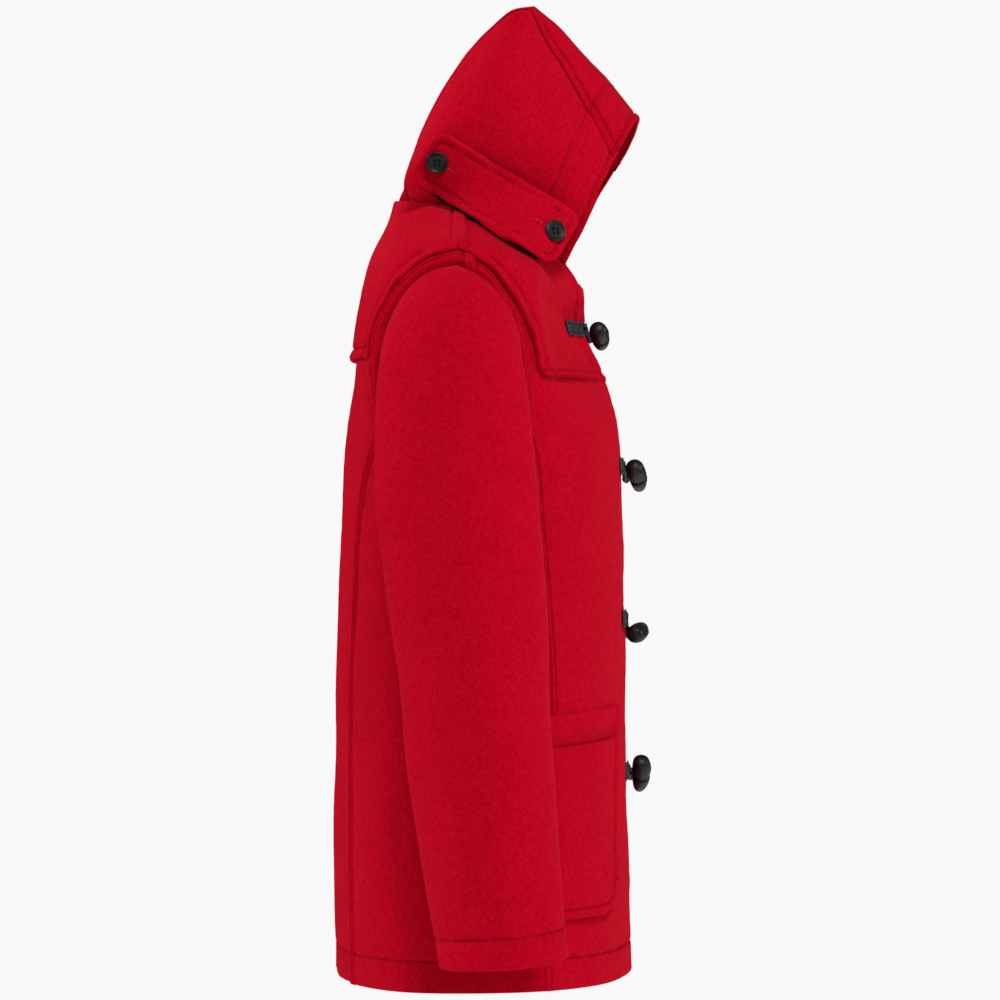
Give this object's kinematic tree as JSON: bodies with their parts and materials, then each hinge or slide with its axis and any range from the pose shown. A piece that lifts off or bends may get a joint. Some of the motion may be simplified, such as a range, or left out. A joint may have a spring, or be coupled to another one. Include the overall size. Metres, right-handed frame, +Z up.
{
  "type": "duffle coat",
  "caption": "Short hooded wool duffle coat with toggle and loop fastening, doubled shoulder yoke, buttoned throat tab and patch pockets, filled out as worn.",
  "frame": {"origin": "centre of the neck opening at the nape's level, where the wearer's neck and shoulders hold the coat", "axes": "+Z up along the coat, the front faces -Y, the wearer's right side is -X"},
  "size_m": [0.6858, 0.2892, 0.8822],
  "materials": {
    "wool": "thick milled red wool coating, short matt nap",
    "horn": "polished dark brown horn",
    "button": "black four-hole button, soft gloss",
    "leather": "dark grey-green leather, satin"
  },
  "bodies": {
    "root": {"back": "wool", "front_right": "wool", "front_left": "wool", "side_right": "wool", "side_left": "wool", "yoke_back": "wool", "yoke_front_right": "wool", "yoke_front_left": "wool", "armhole_band_right": "wool", "armhole_band_left": "wool", "sleeve_right": "wool", "sleeve_left": "wool", "hood_side_right": "wool", "hood_side_left": "wool", "hood_centre": "wool", "throat_tab": "wool", "pocket_right": "wool", "pocket_left": "wool", "tab_button_back": "button", "tab_button_front": "button", "hood_button_left": "button", "toggle_1": "horn", "toggle_2": "horn", "toggle_3": "horn", "toggle_4": "horn", "patch_right_1": "leather", "patch_right_2": "leather", "patch_right_3": "leather", "patch_right_4": "leather", "patch_left_1": "leather", "patch_left_2": "leather", "patch_left_3": "leather", "patch_left_4": "leather", "loop_1": "leather", "loop_2": "leather", "loop_3": "leather", "loop_4": "leather", "short_cord_1": "leather", "short_cord_2": "leather", "short_cord_3": "leather", "short_cord_4": "leather"}
  },
  "joints": []
}
